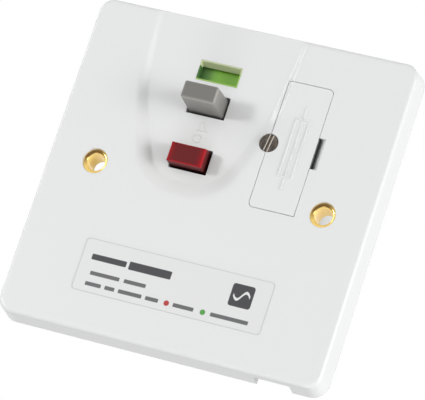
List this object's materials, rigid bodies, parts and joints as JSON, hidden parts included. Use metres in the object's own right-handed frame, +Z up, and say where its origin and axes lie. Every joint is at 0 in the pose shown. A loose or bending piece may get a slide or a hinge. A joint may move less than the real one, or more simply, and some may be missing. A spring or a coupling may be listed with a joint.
{
  "type": "fused connection unit",
  "caption": "Square wall plate with a scooped tongue, reset and test push buttons, an indicator window, a pull-out fuse carrier and a terminal housing behind.",
  "frame": {"origin": "on the wall plane, midway between the two fixing holes", "axes": "+Z up as mounted, +Y into the wall, so the face looks along -Y, and +X to the right as seen from the room"},
  "size_m": [0.086, 0.0417, 0.086],
  "materials": {
    "plate_white": "smooth moulded urea, pearly white",
    "carrier_white": "smooth moulded urea, pearly white",
    "housing_white": "moulded plastic, plain",
    "button_grey": "fine satin",
    "button_red": "smooth",
    "shutter_red": "plain",
    "panel_green": "plain",
    "label_film": "printed film",
    "eyelet_brass": "polished",
    "strap_brass": "rolled",
    "screw_dark": "darkened",
    "screw_steel": "zinc plated",
    "spring_steel": "drawn wire",
    "yoke_steel": "zinc plated",
    "terminal_brass": "machined",
    "contact_copper": "rolled copper alloy",
    "winding_copper": "enamelled wire",
    "bobbin_plastic": "plain",
    "deck_plastic": "plain",
    "bridge_plastic": "plain",
    "board_laminate": "coated",
    "component_body": "plain",
    "disc_blue": "coated",
    "resistor_buff": "coated",
    "core_ferrite": "sintered",
    "fuse_ceramic": "glazed ceramic",
    "fuse_cap_metal": "nickel plated"
  },
  "bodies": {
    "base": {"front_plate": "plate_white", "fixing_eyelets": "eyelet_brass", "eyelet_collars": "eyelet_brass", "earth_strap": "strap_brass", "rating_label": "label_film", "rear_housing": "housing_white", "housing_screws": "screw_steel", "test_posts": "contact_copper", "reset_spring": "spring_steel", "test_spring": "spring_steel", "latch_spring": "spring_steel", "indicator_panel": "panel_green", "indicator_bezel": "panel_green", "screw_insert": "terminal_brass", "fuse_clip_supply": "contact_copper", "fuse_clip_load": "contact_copper", "mechanism_deck": "deck_plastic", "fixed_contact_neutral_in": "contact_copper", "fixed_contact_neutral_out": "contact_copper", "fixed_contact_live_in": "contact_copper", "fixed_contact_live_out": "contact_copper", "earth_link": "strap_brass", "circuit_board": "board_laminate", "coil_bobbin": "bobbin_plastic", "coil_winding": "winding_copper", "coil_yoke": "yoke_steel", "sensor_core": "core_ferrite", "sensor_winding": "winding_copper", "primary_lead_neutral": "contact_copper", "primary_lead_live": "contact_copper", "test_resistor": "resistor_buff", "surge_disc": "disc_blue", "control_chip": "component_body", "terminal_supply_neutral": "terminal_brass", "terminal_supply_earth": "terminal_brass", "terminal_supply_live": "terminal_brass", "terminal_load_neutral": "terminal_brass", "terminal_load_earth": "terminal_brass", "terminal_load_live": "terminal_brass", "terminal_screws": "screw_steel", "cord_grip": "housing_white", "grip_screws": "screw_steel"},
    "reset": {"reset_button": "button_grey", "contact_bridge": "bridge_plastic", "moving_contact_neutral": "contact_copper", "moving_contact_live": "contact_copper"},
    "shutter": {"indicator_shutter": "shutter_red"},
    "test": {"test_button": "button_red", "test_contact": "contact_copper"},
    "carrier": {"fuse_carrier": "carrier_white", "fuse_barrel": "fuse_ceramic", "fuse_caps": "fuse_cap_metal"},
    "retainer": {"carrier_screw": "screw_dark"},
    "trip": {"coil_plunger": "yoke_steel", "latch_plate": "yoke_steel"}
  },
  "joints": [
    {"name": "reset_slide", "type": "slide", "parent": "base", "child": "reset", "axis": [0, 1, 0], "range_m": [0, 0.004], "stiffness_N_per_m": 400, "springref_m": -0.003, "deforming": ["reset_spring"]},
    {"name": "shutter_slide", "type": "slide", "parent": "base", "child": "shutter", "axis": [0, 0, -1], "range_m": [0, 0.0059]},
    {"name": "test_slide", "type": "slide", "parent": "base", "child": "test", "axis": [0, 1, 0], "range_m": [0, 0.0018], "stiffness_N_per_m": 400, "springref_m": -0.002, "deforming": ["test_spring"]},
    {"name": "trip_slide", "type": "slide", "parent": "base", "child": "trip", "axis": [0, 0, -1], "range_m": [0, 0.0012], "stiffness_N_per_m": 400, "springref_m": -0.002, "deforming": ["latch_spring"]},
    {"name": "carrier_slide", "type": "slide", "parent": "base", "child": "carrier", "axis": [0, -1, 0], "range_m": [0, 0.02]},
    {"name": "retainer_spin", "type": "hinge", "parent": "carrier", "child": "retainer", "pos_m": [0.0114, -0.0055, 0.01465], "axis": [0, -1, 0], "continuous": true}
  ],
  "couplings": [
    {"joint": "shutter_slide", "follows": "reset_slide", "ratio": 1.475}
  ]
}
